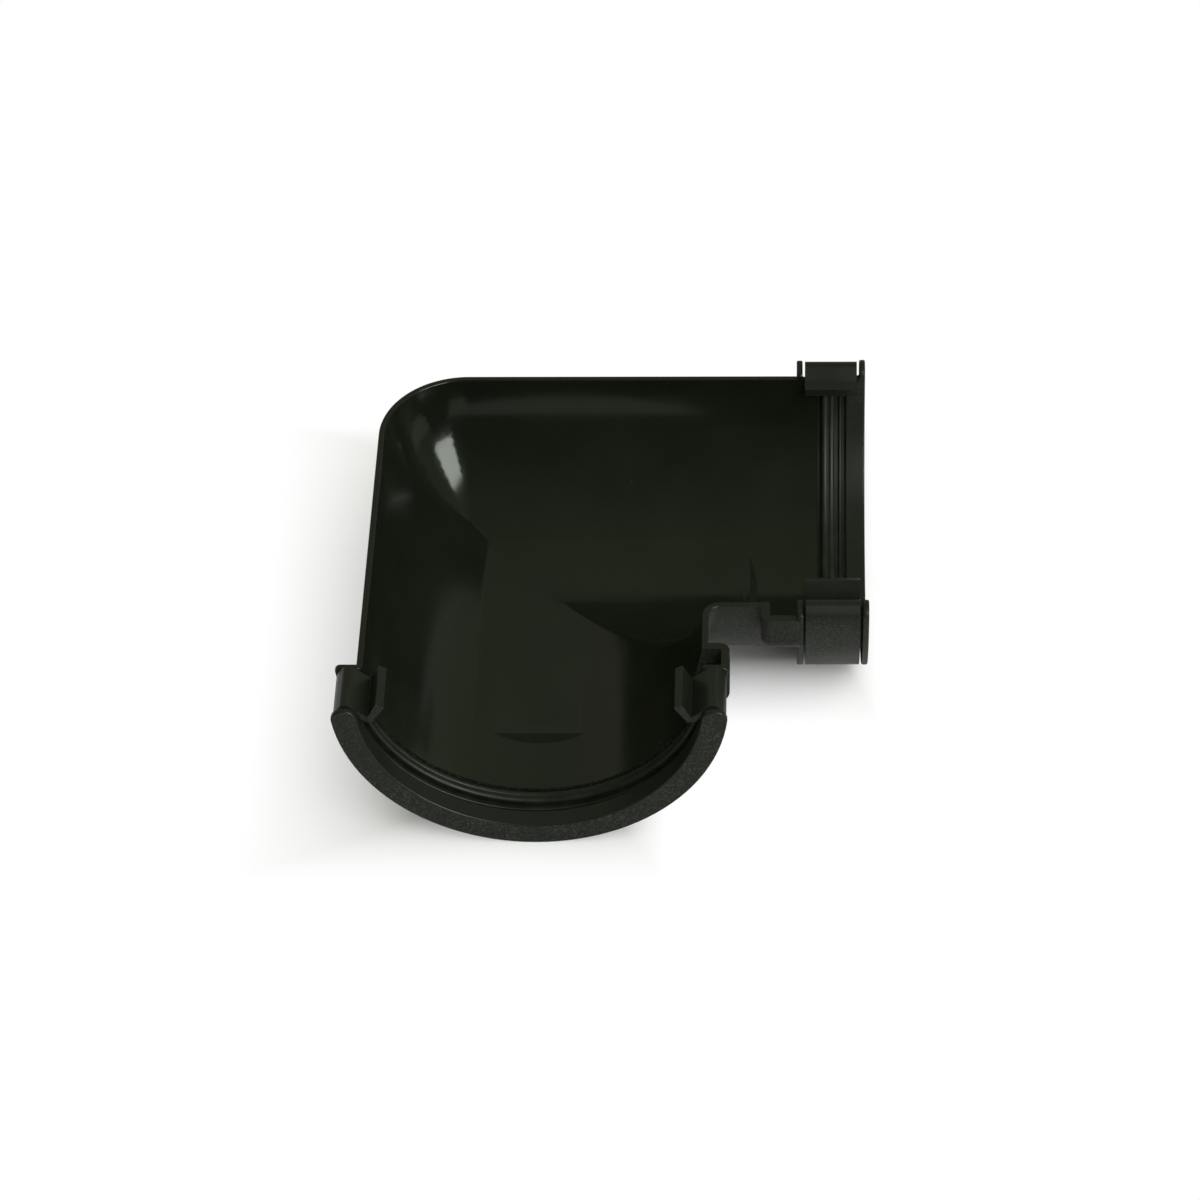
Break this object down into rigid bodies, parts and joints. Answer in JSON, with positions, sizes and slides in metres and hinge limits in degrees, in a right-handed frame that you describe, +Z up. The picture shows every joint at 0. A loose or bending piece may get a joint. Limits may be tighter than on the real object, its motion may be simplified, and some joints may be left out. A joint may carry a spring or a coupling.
{
  "type": "gutter bend",
  "caption": "Right-angle bend for half-round roof gutter, a mitred open trough with a rounded outer corner and a sprung clip socket with a rubber seal at each end.",
  "frame": {"origin": "under the middle of the part's box, at the level of its lowest point", "axes": "+Z up out of the open trough, -Y out of the front socket, +X out of the side socket"},
  "size_m": [0.1763, 0.1763, 0.0628],
  "materials": {
    "body": "near-black olive PVC, glossy inside the trough, fine matt grain on the end faces and clips",
    "seal": "matt black rubber"
  },
  "bodies": {
    "root": {"gutter_bend_body": "body", "front_seal": "seal", "side_seal": "seal"}
  },
  "joints": []
}
